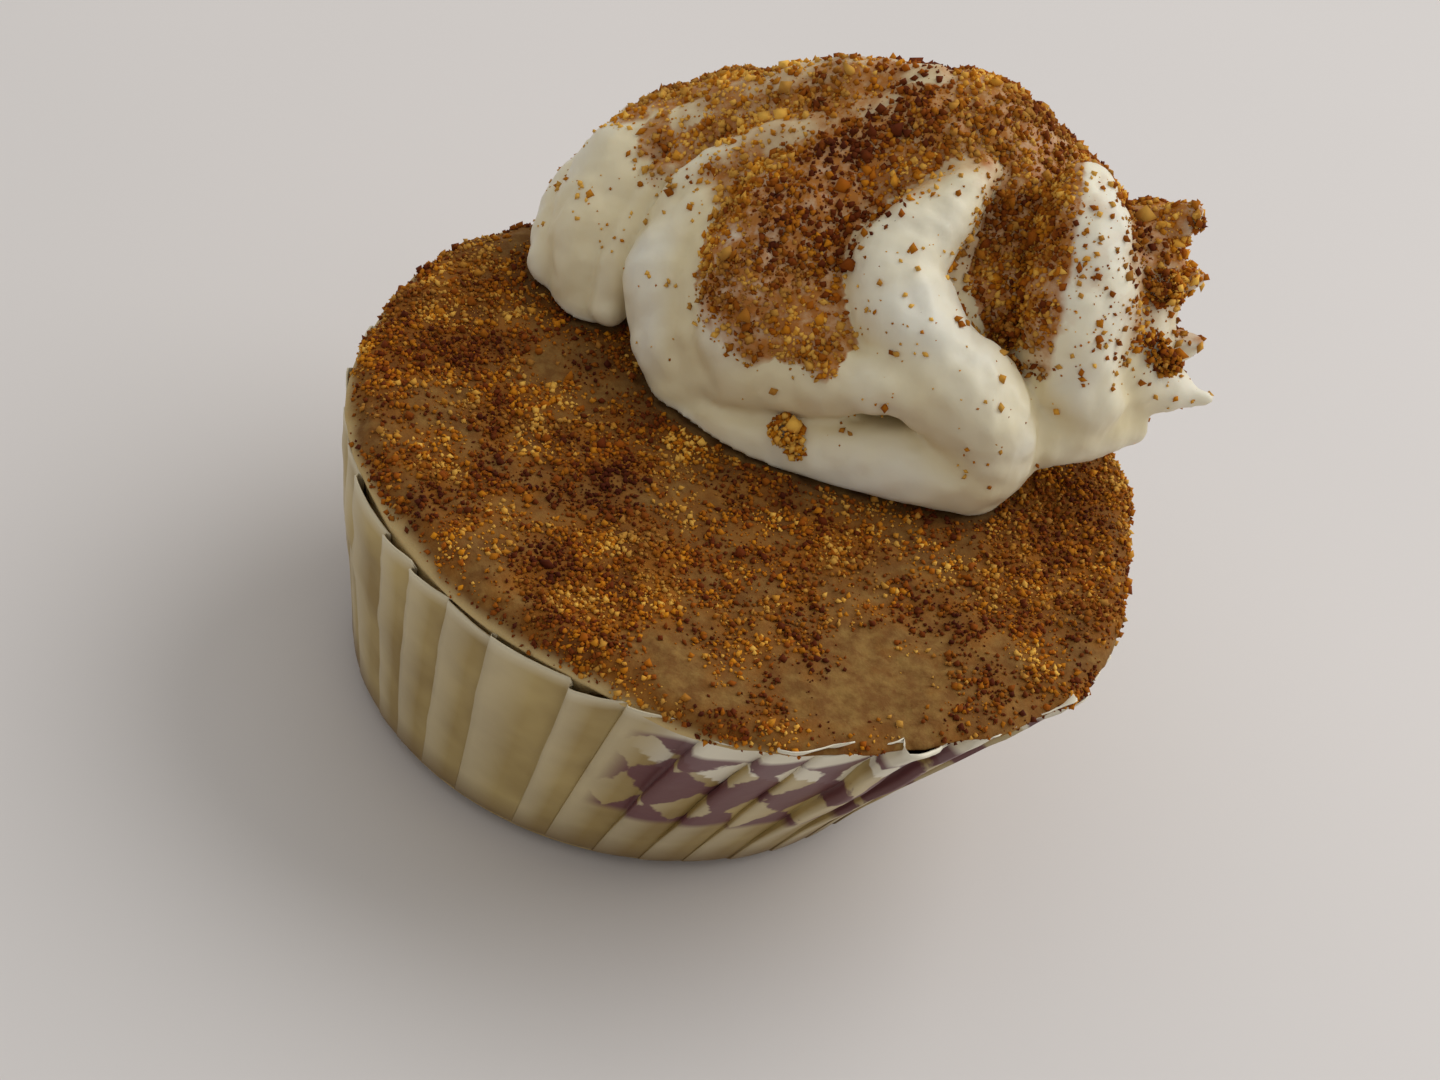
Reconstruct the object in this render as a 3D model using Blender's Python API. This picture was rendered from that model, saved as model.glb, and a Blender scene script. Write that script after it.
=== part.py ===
"""A cupcake: a pleated paper baking case, the cake baked in it, and a mound of piped cream on it.

Metres, +Z up. The origin is the centre of the case's flat base, on the table. The case leans: its
rim is centred a little to +X of its base, so the wall is upright on the -X side and flares on +X.
Angles are in degrees from +X, turning towards +Y, so 270 is the front.
"""

import math

import bmesh
import bpy
import numpy as np

MM = 0.001
GAP = 0.3 * MM
SHARP_EDGE = 40.0
TINY = 1e-9

# The case and the cake in it
BASE_RADIUS = 25.8 * MM
RIM_RADIUS = 36.0 * MM
CAKE_HEIGHT = 30.6 * MM
LEAN = 5.8 * MM
PAPER_THICKNESS = 0.35 * MM
BASE_CORNER = 1.6 * MM
CORNER_INWARD, CORNER_UPWARD = 0.35, 0.3

# Pleats: folded flat on the left, open and flared on the right
PLEAT_EDGES_FRONT = (220.5, 228.0, 236.0, 245.0, 257.5, 265.0, 274.0, 283.0, 291.5, 301.0)
PLEAT_COUNT_BACK = 31
PLEAT_UNEVEN = 0.28
PLEAT_WAVE = 2.4
PLEAT_WAVE_DRIFT = 1.1
PLEAT_STEP = 0.16
PLEAT_SAMPLES = 4
PLEAT_SAG = 1.4
FLAT_PLEAT = 0.9 * MM
OPEN_PLEAT = 2.0 * MM
PLEAT_AT_BASE = 0.25
OPEN_SIDE = 312.0
OPEN_HALF_WIDTH = 62.0
OPEN_FADE_END = 1.25
RIM_DROP = 3.0 * MM
RIM_DROP_OPEN = 1.2 * MM
RIM_FLARE = 1.4 * MM
WALL_LEVELS = (0.0, 0.5, 1.0)

# The cake's top
CAKE_SAMPLES = 72
CAKE_FOOT_HEIGHT = 2.4 * MM
CAKE_WAIST = 0.5 * CAKE_HEIGHT
EDGE_ROUND = 2.6 * MM
EDGE_OVERHANG = 1.5 * MM
OVERHANG_FADE = 3.0
EDGE_WAVE = 0.5 * MM
EDGE_WAVE_COUNTS = (3.0, 5.0)
EDGE_WAVE_START = 40.0
EDGE_TURNS = (0.0, 0.3, 0.65, 1.0)
TOP_RINGS = (0.82, 0.5, 0.2)

# The cream, in millimetres above the middle of the cake's underside, the cake's top being height 0.
# Soft lumps fill its middle: centre and half sizes
CREAM_LUMPS = (
    ((5, 17, 5), (17, 12, 9)),
    ((14, 16, 8), (16, 13, 13)),
    ((22, 16, 8), (12, 11, 11)),
    ((17, 18, 14), (10, 9, 9)),
    ((13, 19, 2), (25, 13.5, 15)),
    ((14, 7, 4), (15, 7, 6)),
)
LUMP_BLEND = 2.0
# Piped ridges run over them from the foot to the peak: how softly each one sinks into the rest,
# and its path as (x, y, height, thickness)
CREAM_RIDGES = {
    "far left": (1.0, (
        (-16, 14.5, 1.5, 2.6), (-16, 18, 3.5, 3.2), (-15, 22, 5.5, 3.4), (-11, 26, 8.5, 4),
        (-3.5, 28, 13, 5),
    )),
    "left": (1.6, (
        (-12, 12.5, 0, 3.6), (-12.5, 15, 4.5, 4.8), (-11.5, 19, 9, 5.2), (-6.5, 23, 13, 5),
        (13, 19, 24.5, 4),
    )),
    "front left": (1.2, (
        (-1.5, 3.5, 1.5, 3.6), (-3.5, 6.5, 5, 4.6), (-4, 10.5, 9.5, 5), (3.5, 18, 18, 5),
        (13.5, 17, 23.5, 4),
    )),
    "front": (2.6, (
        (4, 2, 5, 4.4), (3, 4, 9, 5.4), (4, 8, 13, 6), (8, 13, 17.5, 5.6), (14.5, 16, 23, 4),
    )),
    "front right": (2.6, (
        (10, 0.5, 8, 4.4), (8.5, 3.5, 11, 5.2), (9.5, 7.5, 15.5, 5), (15.5, 16, 23.5, 3.5),
    )),
    "hem": (2.2, (
        (-1, 3, 0.5, 2.6), (5, 0.5, 4, 2.8), (12, -0.5, 7.5, 2.9), (17.5, -1, 9.5, 3.2),
        (23.5, -1, 8, 3.4),
    )),
    "hollow": (2.5, (
        (22, 15, 22, 4), (23, 11.5, 17.5, 4.2), (24, 8, 14.5, 3.8), (25, 4.5, 11, 3.4),
    )),
    "fold": (1.0, (
        (18.5, 13, 24.5, 1.3), (16.5, 10, 22, 2.8), (13.5, 5, 17, 4.3), (18, 1.5, 12.5, 4.7),
        (22.5, 0, 10, 4.8), (25.5, 0, 6, 4.3), (25, 0, 2.5, 3.6),
    )),
    "skirt": (1.2, (
        (0.5, 1.5, -1, 2.6), (5.5, 0, -0.5, 3.3), (11.5, -1, 0.5, 3.4), (18.5, -1, 1.5, 3.6),
        (24.5, -0.5, 2.5, 3.8),
    )),
    "right": (1.6, (
        (27.5, 14, 25, 2.3), (28.5, 11, 21.5, 4.2), (29.5, 8, 17.5, 4.8), (30.5, 6, 12.5, 4.6),
        (32.5, 5, 10, 3.6),
    )),
    "far right": (2.0, (
        (34, 17, 22, 2), (34, 14.5, 19, 4), (34.5, 11.5, 14.5, 4.2), (36.5, 9.5, 11, 3.8),
        (40.5, 9, 10.5, 1.6), (43.5, 8.5, 11, 0.3),
    )),
    "low point": (0.8, (
        (35.5, 12, 11, 3), (38, 11.5, 12.5, 1.8), (40.5, 11, 13.5, 0.5),
    )),
    "middle point": (0.8, (
        (33, 14, 16.5, 3), (35.5, 13.5, 17.5, 2.2), (38.5, 13, 18.5, 0.6),
    )),
    "high point": (0.8, (
        (33, 16, 19.5, 3), (35, 15.5, 22, 1.6), (36.5, 15, 24, 0.5),
    )),
    "right skirt": (1.0, (
        (29, 3, 6, 3.2), (33, 5, 7, 3.3), (36.5, 8, 6.5, 2.6),
    )),
}
# Out of sight of the front, like ridges run down the back: their directions and what they share
BACK_DIRECTIONS = (22.0, 50.0, 78.0, 104.0, 131.0, 157.0)
BACK_BLEND = 1.4
BACK_PEAK = (17.0, 19.0)
BACK_FOOT_CENTRE = (11.0, 18.0)
BACK_FOOT_REACH = (25.0, 13.0)
# Share of the way out to the foot, height, thickness
BACK_PROFILE = ((0.0, 24.5, 4.0), (0.45, 20.0, 4.6), (0.8, 13.0, 4.8), (0.96, 6.0, 4.4), (1.0, 0.0, 4.0))
RIDGE_STEPS = 5
# The cream's skin is found along rays from a short upright axis, level at its foot and steep at its peak
CREAM_AXIS = (12.0, 17.0)
CREAM_AXIS_TOP = 12.0
CREAM_AXIS_SHIFT = 4.0
CREAM_STEEPEST = 86.0
CREAM_SAMPLES = 72
CREAM_LEVELS = 24
CREAM_REACH = 46.0
CREAM_SMOOTHING = 1
FINEST_STEP = 0.02
STEP_CAUTION = 0.7
FAR_AWAY = 1000.0
SEARCH_STEPS = 80


def clear_scene():
    for obj in list(bpy.data.objects):
        bpy.data.objects.remove(obj, do_unlink=True)


def smooth(value):
    value = np.clip(value, 0.0, 1.0)
    return value * value * (3.0 - 2.0 * value)


def turn_between(angle, other):
    """The smaller turn between two angles, in degrees."""
    return abs((angle - other + 180.0) % 360.0 - 180.0)


def openness(angle):
    """How open the case is at an angle: 0 where it is pressed to the cake, 1 where it flares."""
    return smooth(OPEN_FADE_END - turn_between(angle, OPEN_SIDE) / OPEN_HALF_WIDTH)


def rim_height(angle):
    return CAKE_HEIGHT - RIM_DROP + (RIM_DROP - RIM_DROP_OPEN) * openness(angle)


def wall_radius(height):
    return BASE_RADIUS + (RIM_RADIUS - BASE_RADIUS) * height / CAKE_HEIGHT


def ring_point(angle, radius, height):
    """A point of the leaning wall: the ring's centre moves to +X with height."""
    turn = math.radians(angle)
    return (LEAN * height / CAKE_HEIGHT + radius * math.cos(turn), radius * math.sin(turn), height)


def pleat_edges():
    """Angles at which a pleat ends and the next begins, once round the case."""
    first, last = PLEAT_EDGES_FRONT[0], PLEAT_EDGES_FRONT[-1]
    left_over = 360.0 - (last - first)
    widths = []
    for i in range(PLEAT_COUNT_BACK):
        widths.append(1.0 + PLEAT_UNEVEN * math.sin(PLEAT_WAVE * i + PLEAT_WAVE_DRIFT * math.sin(i)))
    scale = left_over / sum(widths)
    edges = list(PLEAT_EDGES_FRONT)
    for width in widths[:-1]:
        edges.append(edges[-1] + width * scale)
    return edges


def pleat_samples():
    """(angle, outward share) pairs round the case: each pleat steps out sharply and then sinks back."""
    edges = pleat_edges()
    samples = []
    for start, end in zip(edges, edges[1:] + [edges[0] + 360.0]):
        for i in range(PLEAT_SAMPLES):
            past_step = (i - 1) / (PLEAT_SAMPLES - 1)
            along = 0.0 if i == 0 else PLEAT_STEP + (1.0 - PLEAT_STEP) * past_step
            out = 0.0 if i == 0 else 1.0 - past_step**PLEAT_SAG
            samples.append((start + (end - start) * along, out))
    return samples


def pleat_depth(angle, share):
    """Depth of the pleats at an angle, share of the way from the base to the rim."""
    full = FLAT_PLEAT + (OPEN_PLEAT - FLAT_PLEAT) * openness(angle)
    return full * (PLEAT_AT_BASE + (1.0 - PLEAT_AT_BASE) * share)


def case_point(angle, out, level, inset):
    """A point of the case's wall: level from its corner to its rim, inset inwards from its face."""
    height = BASE_CORNER + (rim_height(angle) - BASE_CORNER) * level
    flare = RIM_FLARE * openness(angle) * level**3
    radius = wall_radius(height) + pleat_depth(angle, level) * (out - 0.5) + flare - inset
    return ring_point(angle, radius, height)


def inner_clearance(angle, height):
    """Radius that stays clear inside the case at an angle and height."""
    share = min(1.0, height / (CAKE_HEIGHT - RIM_DROP))
    return wall_radius(height) - 0.5 * pleat_depth(angle, share) - PAPER_THICKNESS - GAP


def skin(name, rings):
    """A closed mesh through rings of equal length, its first and last ring closed by a fan."""
    mesh = bmesh.new()
    loops = [[mesh.verts.new(point) for point in ring] for ring in rings]
    for lower, upper in zip(loops, loops[1:]):
        for i in range(len(lower)):
            j = (i + 1) % len(lower)
            mesh.faces.new((lower[i], lower[j], upper[j], upper[i]))
    for loop, facing_out in ((loops[0], False), (loops[-1], True)):
        centre = mesh.verts.new(np.mean([vert.co for vert in loop], axis=0))
        for i in range(len(loop)):
            j = (i + 1) % len(loop)
            corners = (loop[i], loop[j], centre)
            mesh.faces.new(corners if facing_out else corners[::-1])
    data = bpy.data.meshes.new(name)
    mesh.to_mesh(data)
    mesh.free()
    data.shade_smooth()
    data.set_sharp_from_angle(angle=math.radians(SHARP_EDGE))
    obj = bpy.data.objects.new(name, data)
    bpy.context.scene.collection.objects.link(obj)
    return obj


def make_case():
    samples = pleat_samples()

    def flat_ring(radius, height):
        return [ring_point(angle, radius, height) for angle, _ in samples]

    def wall_ring(level, inset):
        return [case_point(angle, out, level, inset) for angle, out in samples]

    outer_base = flat_ring(BASE_RADIUS - BASE_CORNER, 0.0)
    outer_corner = flat_ring(BASE_RADIUS - CORNER_INWARD * BASE_CORNER, CORNER_UPWARD * BASE_CORNER)
    outer = [wall_ring(level, 0.0) for level in WALL_LEVELS]
    inner = [wall_ring(level, PAPER_THICKNESS) for level in WALL_LEVELS[::-1]]
    inner_base = flat_ring(BASE_RADIUS - BASE_CORNER, PAPER_THICKNESS)
    return skin("paper_case", [outer_base, outer_corner, *outer, *inner, inner_base])


def edge_wave(angle):
    """How far the cake's edge strays from a plain circle at an angle."""
    slow, fast = EDGE_WAVE_COUNTS
    return (
        EDGE_WAVE * math.sin(math.radians(slow * angle))
        * math.sin(math.radians(fast * angle + EDGE_WAVE_START))
    )


def make_cake():
    angles = [360.0 * i / CAKE_SAMPLES for i in range(CAKE_SAMPLES)]
    bottom = PAPER_THICKNESS + GAP

    def side(height):
        return [ring_point(a, inner_clearance(a, height), height) for a in angles]

    def edge(share):
        """A ring of the rounded edge, from where it swells over the case's rim to the flat top."""
        turn = share * math.pi / 2.0
        ring = []
        for a in angles:
            start = rim_height(a) + 2.0 * GAP
            swell = EDGE_OVERHANG * max(0.0, 1.0 - OVERHANG_FADE * openness(a))
            full = inner_clearance(a, start) + swell + edge_wave(a) * share
            height = start + (CAKE_HEIGHT - start) * math.sin(turn)
            ring.append(ring_point(a, full - EDGE_ROUND * (1.0 - math.cos(turn)), height))
        return ring

    foot = [ring_point(a, BASE_RADIUS - BASE_CORNER - GAP, bottom) for a in angles]
    neck = [ring_point(a, inner_clearance(a, rim_height(a)), rim_height(a)) for a in angles]
    edges = [edge(share) for share in EDGE_TURNS]
    centre = np.mean(edges[-1], axis=0)
    top = []
    for share in TOP_RINGS:
        top.append([tuple(centre + (np.array(point) - centre) * share) for point in edges[-1]])
    return skin("cake", [foot, side(CAKE_FOOT_HEIGHT), side(CAKE_WAIST), neck, *edges, *top])


def soft_union(first, second, blend):
    """The nearer of two distances, rounded off where they are alike."""
    near = np.maximum(blend - np.abs(first - second), 0.0) / blend
    return np.minimum(first, second) - near * near * blend * 0.25


def smooth_path(knots):
    """Points along a smooth curve through the knots."""
    knots = np.array(knots, dtype=float)
    last = len(knots) - 1
    points = []
    for i in range(last):
        before, start, end, after = (knots[min(max(j, 0), last)] for j in range(i - 1, i + 3))
        slope = end - before
        bend = 2.0 * before - 5.0 * start + 4.0 * end - after
        twist = 3.0 * start - before - 3.0 * end + after
        for t in np.arange(RIDGE_STEPS) / RIDGE_STEPS:
            points.append(start + 0.5 * (slope * t + bend * t**2 + twist * t**3))
    return np.array([*points, knots[-1]])


def distance_to_ridge(places, path):
    """Distance from each place to a round ridge that runs along a path and swells with its thickness."""
    nearest = np.full(len(places), FAR_AWAY)
    for start, end in zip(path, path[1:]):
        run = end[:3] - start[:3]
        along = np.clip((places - start[:3]) @ run / max(run @ run, TINY), 0.0, 1.0)
        axis = start[:3] + along[:, None] * run
        thickness = start[3] + along * (end[3] - start[3])
        nearest = np.minimum(nearest, np.linalg.norm(places - axis, axis=1) - thickness)
    return nearest


def distance_to_cream(places, paths):
    nearest = np.full(len(places), FAR_AWAY)
    for centre, sizes in CREAM_LUMPS:
        scaled = np.linalg.norm((places - np.array(centre)) / np.array(sizes), axis=1)
        nearest = soft_union(nearest, (scaled - 1.0) * min(sizes), LUMP_BLEND)
    for blend, path in paths:
        nearest = soft_union(nearest, distance_to_ridge(places, path), blend)
    return nearest


def back_ridge(direction):
    """Knots of a ridge that runs from the peak to the foot in a direction."""
    turn = math.radians(direction)
    peak_x, peak_y = BACK_PEAK
    run_x = BACK_FOOT_CENTRE[0] + BACK_FOOT_REACH[0] * math.cos(turn) - peak_x
    run_y = BACK_FOOT_CENTRE[1] + BACK_FOOT_REACH[1] * math.sin(turn) - peak_y
    knots = []
    for share, height, thickness in BACK_PROFILE:
        knots.append((peak_x + run_x * share, peak_y + run_y * share, height, thickness))
    return knots


def softened(grid):
    """The grid with each value drawn towards its neighbours; its columns close on themselves."""
    grid = 0.25 * (np.roll(grid, 1, axis=1) + np.roll(grid, -1, axis=1)) + 0.5 * grid
    middle = 0.25 * (grid[:-2] + grid[2:]) + 0.5 * grid[1:-1]
    return np.concatenate([grid[:1], middle, grid[-1:]])


def make_cream():
    paths = [(blend, smooth_path(knots)) for blend, knots in CREAM_RIDGES.values()]
    paths += [(BACK_BLEND, smooth_path(back_ridge(direction))) for direction in BACK_DIRECTIONS]
    levels = np.repeat(np.arange(CREAM_LEVELS) / (CREAM_LEVELS - 1), CREAM_SAMPLES)
    turns = np.tile(np.arange(CREAM_SAMPLES) / CREAM_SAMPLES, CREAM_LEVELS) * 2.0 * math.pi
    rise = np.radians(CREAM_STEEPEST) * levels
    axis_x, axis_y = CREAM_AXIS
    starts = np.stack(
        [axis_x + CREAM_AXIS_SHIFT * levels, np.full(len(levels), axis_y), CREAM_AXIS_TOP * levels], axis=1
    )
    ways = np.stack([np.cos(rise) * np.cos(turns), np.cos(rise) * np.sin(turns), np.sin(rise)], axis=1)
    reach = np.full(len(ways), CREAM_REACH)
    for _ in range(SEARCH_STEPS):
        gap = distance_to_cream(starts + reach[:, None] * ways, paths)
        reach = np.where(gap > FINEST_STEP, reach - np.maximum(STEP_CAUTION * gap, FINEST_STEP), reach)
    grid = reach.reshape(CREAM_LEVELS, CREAM_SAMPLES)
    for _ in range(CREAM_SMOOTHING):
        grid = softened(grid)
    reach = grid.ravel()
    points = (starts + reach[:, None] * ways) * MM + np.array([0.0, 0.0, CAKE_HEIGHT + GAP])
    return skin("cream", points.reshape(CREAM_LEVELS, CREAM_SAMPLES, 3))


def material(name, colour, roughness):
    made = bpy.data.materials.new(name)
    made.use_nodes = True
    shader = made.node_tree.nodes["Principled BSDF"]
    shader.inputs["Base Color"].default_value = (*colour, 1.0)
    shader.inputs["Roughness"].default_value = roughness
    shader.inputs["Metallic"].default_value = 0.0
    return made


def main():
    clear_scene()
    looks = (
        (make_case(), material("greaseproof_paper", (0.42, 0.34, 0.2), 0.6)),
        (make_cake(), material("baked_cake", (0.2, 0.09, 0.02), 0.8)),
        (make_cream(), material("whipped_cream", (0.75, 0.71, 0.6), 0.45)),
    )
    for obj, look in looks:
        obj.data.materials.append(look)


main()
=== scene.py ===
"""The looks of the cupcake: pleated paper case, crumbed cake, piped cream, and the crumbs on both.

Lengths are in millimetres until a mesh is made. Heights of the cream are above the cake's top.
"""
import math

import bpy
import numpy as np
from mathutils import Matrix, Vector


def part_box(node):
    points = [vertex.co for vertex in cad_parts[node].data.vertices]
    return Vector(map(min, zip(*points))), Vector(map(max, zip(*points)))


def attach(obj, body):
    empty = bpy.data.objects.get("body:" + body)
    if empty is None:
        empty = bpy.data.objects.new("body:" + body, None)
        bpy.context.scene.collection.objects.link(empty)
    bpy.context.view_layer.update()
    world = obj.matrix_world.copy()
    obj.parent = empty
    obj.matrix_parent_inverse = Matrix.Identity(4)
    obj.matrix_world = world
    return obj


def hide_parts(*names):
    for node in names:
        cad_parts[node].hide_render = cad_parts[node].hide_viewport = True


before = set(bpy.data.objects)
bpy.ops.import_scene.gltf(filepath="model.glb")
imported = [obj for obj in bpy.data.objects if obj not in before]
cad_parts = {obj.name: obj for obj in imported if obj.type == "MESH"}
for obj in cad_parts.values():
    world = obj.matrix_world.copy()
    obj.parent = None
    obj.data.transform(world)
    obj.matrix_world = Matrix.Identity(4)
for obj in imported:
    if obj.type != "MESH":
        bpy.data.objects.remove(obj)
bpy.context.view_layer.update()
MM = 0.001
rng = np.random.default_rng(11)

# ---------------------------------------------------------------- sizes of the case and the cake
cream_low, cream_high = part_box("cream")
BASE_RADIUS = 25.8
RIM_RADIUS = 36.0
CAKE_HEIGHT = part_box("cake")[1].z / MM
LEAN = 5.8
PAPER = 0.16
BASE_CORNER = 1.8
PLEAT_EDGES_FRONT = (220.5, 227.5, 235.5, 244.7, 257.5, 264.5, 274.0, 283.0, 291.5, 301.0)
PLEAT_COUNT_BACK = 31
FLAT_PLEAT, OPEN_PLEAT = 0.55, 1.5
OPEN_SIDE, OPEN_HALF_WIDTH, OPEN_FADE_END = 305.0, 46.0, 1.25
RIM_DROP, RIM_DROP_OPEN, RIM_FLARE = 3.0, 1.0, 1.6


def smooth(value):
    value = np.clip(value, 0.0, 1.0)
    return value * value * (3.0 - 2.0 * value)


def turn_between(angle, other):
    return np.abs((angle - other + 180.0) % 360.0 - 180.0)


def openness(angle):
    return smooth(OPEN_FADE_END - turn_between(angle, OPEN_SIDE) / OPEN_HALF_WIDTH)


def wall_radius(height):
    return BASE_RADIUS + (RIM_RADIUS - BASE_RADIUS) * height / CAKE_HEIGHT


def ring(angle, radius, height):
    """Points at angles round the leaning case, whose centre moves to +X with height."""
    turn = np.radians(angle)
    x = LEAN * height / CAKE_HEIGHT + radius * np.cos(turn)
    return np.stack([x, radius * np.sin(turn), height + 0.0 * turn], axis=-1)


NOISE_TABLE = np.random.default_rng(5).permutation(256)
NOISE_WAYS = np.random.default_rng(6).normal(size=(256, 3))
NOISE_WAYS /= np.linalg.norm(NOISE_WAYS, axis=1, keepdims=True)


def gradient_noise(points):
    """Noise that is zero at whole numbers and swings smoothly between them."""
    cell = np.floor(points).astype(np.int64)
    inside = points - cell
    fade = inside**3 * (inside * (inside * 6.0 - 15.0) + 10.0)
    total = np.zeros(len(points))
    for corner in ((i, j, k) for i in (0, 1) for j in (0, 1) for k in (0, 1)):
        at = (cell + corner) & 255
        which = NOISE_TABLE[(NOISE_TABLE[(NOISE_TABLE[at[:, 0]] + at[:, 1]) & 255] + at[:, 2]) & 255]
        weight = np.prod(np.where(np.array(corner) == 1, fade, 1.0 - fade), axis=1)
        total += weight * np.einsum("ij,ij->i", NOISE_WAYS[which], inside - corner)
    return total


def waves(points, size, octaves=3, seed=0.0):
    """Soft noise, about -1 to 1, at each point; its largest lumps are about size across."""
    places = np.asarray(points, float) / size + np.array([7.31, 3.17, 5.77]) * seed
    return sum(1.7 * 0.5**n * gradient_noise(places * 2.0**n + 19.7 * n) for n in range(octaves))


# ---------------------------------------------------------------- meshes
def make_mesh(name, verts, faces, attributes):
    """verts in mm; faces an (n, 3) or (n, 4) array, or a list of such arrays; attributes by vertex."""
    faces = faces if isinstance(faces, list) else [faces]
    mesh = bpy.data.meshes.new(name)
    mesh.vertices.add(len(verts))
    mesh.vertices.foreach_set("co", (np.asarray(verts, float) * MM).astype(np.float32).ravel())
    loops = np.concatenate([f.ravel() for f in faces]).astype(np.int32)
    sizes = np.concatenate([np.full(len(f), f.shape[1]) for f in faces])
    mesh.loops.add(len(loops))
    mesh.loops.foreach_set("vertex_index", loops)
    mesh.polygons.add(len(sizes))
    starts = np.concatenate([[0], np.cumsum(sizes)[:-1]])
    mesh.polygons.foreach_set("loop_start", starts.astype(np.int32))
    for key, values in attributes.items():
        mesh.attributes.new(key, "FLOAT", "POINT").data.foreach_set("value", np.asarray(values, np.float32))
    mesh.update()
    mesh.validate()
    mesh.shade_smooth()
    obj = bpy.data.objects.new(name, mesh)
    bpy.context.scene.collection.objects.link(obj)
    return obj


def grid_faces(rows, columns):
    """Quads of a grid that closes on itself along its columns."""
    r, c = np.meshgrid(np.arange(rows - 1), np.arange(columns), indexing="ij")
    n = (c + 1) % columns
    below, above_it = r * columns, (r + 1) * columns
    return np.stack([below + c, below + n, above_it + n, above_it + c], axis=-1).reshape(-1, 4)


def fan(first, columns, centre, up):
    """Triangles from a ring of vertices, from the one numbered first, to a vertex in its middle."""
    c = np.arange(columns) + first
    n = (np.arange(columns) + 1) % columns + first
    corners = (c, n) if up else (n, c)
    return np.stack([*corners, np.full(columns, centre)], axis=-1)


# ---------------------------------------------------------------- the paper case
PLEAT_SAMPLES = 15
WALL_ROWS = 34
CORNER_ROWS = 4
PLEAT_AT_BASE = 0.12
PLEAT_UNEVEN = 0.28
# across a pleat, as shares of its width and depth: its edge is folded out over the pleat before it
PLEAT_FOLD = ((0.0, 0.0), (-0.05, 0.45), (-0.03, 0.95))


def pleat_edges():
    """Angles at which one pleat ends and the next begins, once round."""
    left_over = 360.0 - (PLEAT_EDGES_FRONT[-1] - PLEAT_EDGES_FRONT[0])
    widths = [1.0 + PLEAT_UNEVEN * math.sin(2.4 * i + 1.1 * math.sin(i)) for i in range(PLEAT_COUNT_BACK)]
    edges = list(PLEAT_EDGES_FRONT)
    for width in widths[:-1]:
        edges.append(edges[-1] + width * left_over / sum(widths))
    return edges


def build_case():
    edges = pleat_edges()
    samples = []
    for i, (start, end) in enumerate(zip(edges, edges[1:] + [edges[0] + 360.0])):
        for j in range(PLEAT_SAMPLES):
            s = (j - 2) / (PLEAT_SAMPLES - 2)
            a, o = PLEAT_FOLD[j] if j < len(PLEAT_FOLD) else (0.02 + 0.98 * s, 1.0 - s**1.5)
            samples.append((start + (end - start) * a, o, i, j / PLEAT_SAMPLES))
    angle, out, which, along = np.array(samples).T
    columns = len(angle)
    opened = openness(angle)
    pleat_depth = 1.0 + 0.35 * np.sin(which * 2.1 + 0.7)
    rim = CAKE_HEIGHT - RIM_DROP + (RIM_DROP - RIM_DROP_OPEN) * opened
    # the paper's top edge rises along each panel and steps down at the next, unevenly
    rim = rim + (0.7 + 0.4 * opened) * (1.3 * (along - 0.5) * np.sin(which * 1.7 + 1.0))
    rim = rim + (0.35 + 0.15 * opened) * np.sin(which * 2.9)
    level = np.linspace(0.0, 1.0, WALL_ROWS)[:, None]
    height = BASE_CORNER + (rim[None, :] - BASE_CORNER) * level
    depth = (FLAT_PLEAT + (OPEN_PLEAT - FLAT_PLEAT) * opened) * pleat_depth
    fade = PLEAT_AT_BASE + (1.0 - PLEAT_AT_BASE) * smooth(level * 1.5)
    radius = wall_radius(height) + depth * fade * out + RIM_FLARE * opened * level**3
    # slow bulges and dents of the panels
    flat = ring(np.broadcast_to(angle, height.shape), radius, height).reshape(-1, 3)
    dents = waves(flat, 9.0, 3, 2.0).reshape(height.shape)
    radius = radius + 0.42 * np.maximum(dents, -0.2) * fade
    crumple = waves(flat, 3.2, 2, 14.0).reshape(height.shape)
    radius = radius + 0.9 * opened * smooth(level * 6.0 - 5.0) * (crumple + 0.3 * np.sin(which * 2.3))
    height = height + 0.8 * opened * smooth(level * 5.0 - 4.0) * crumple
    lean = 1.6 * level**2 * np.sin(which * 1.3) * (0.4 + opened)
    outer = ring(angle + lean, radius, height)
    corner = []
    for k in range(CORNER_ROWS):
        share = k / CORNER_ROWS
        turn = share * math.pi / 2.0
        r = BASE_RADIUS - BASE_CORNER + BASE_CORNER * math.sin(turn) + depth * fade[0] * out * share
        corner.append(ring(angle, r, BASE_CORNER * (1.0 - math.cos(turn)) + 0.0 * angle))
    outer = np.concatenate([np.array(corner), outer])
    # inside of the sheet, a paper's thickness in
    radial = np.stack([np.cos(np.radians(angle)), np.sin(np.radians(angle)), 0.0 * angle], axis=-1)
    inner = outer - PAPER * radial[None]
    inner[:CORNER_ROWS, :, 2] += PAPER
    rows = len(outer)
    verts = np.concatenate([outer.reshape(-1, 3), inner[::-1].reshape(-1, 3), [[0, 0, 0], [0, 0, PAPER]]])
    total = 2 * rows * columns
    floors = [fan(0, columns, total, False), fan(total - columns, columns, total + 1, True)]
    faces = [grid_faces(2 * rows, columns), *floors]
    up = np.repeat(np.concatenate([np.zeros(CORNER_ROWS), level[:, 0]]), columns)
    crest = np.tile(out, rows)
    turn = np.tile(np.unwrap(np.radians(angle)), rows)

    def both(values):
        """Values for the outer face, the inner face and the middles of the two floors."""
        return np.concatenate([values, values.reshape(rows, columns)[::-1].ravel(), [0.0, 0.0]])

    # on the open side the top of each pleat is left plain, down to a slanting line
    tab = np.tile(opened, rows) * smooth((up - 0.80 + 0.18 * np.tile(along, rows)) / 0.03)
    marks = {"level": both(up), "crest": both(crest), "turn": both(turn), "tab": both(tab)}
    return make_mesh("case_paper", verts, faces, marks)


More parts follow.
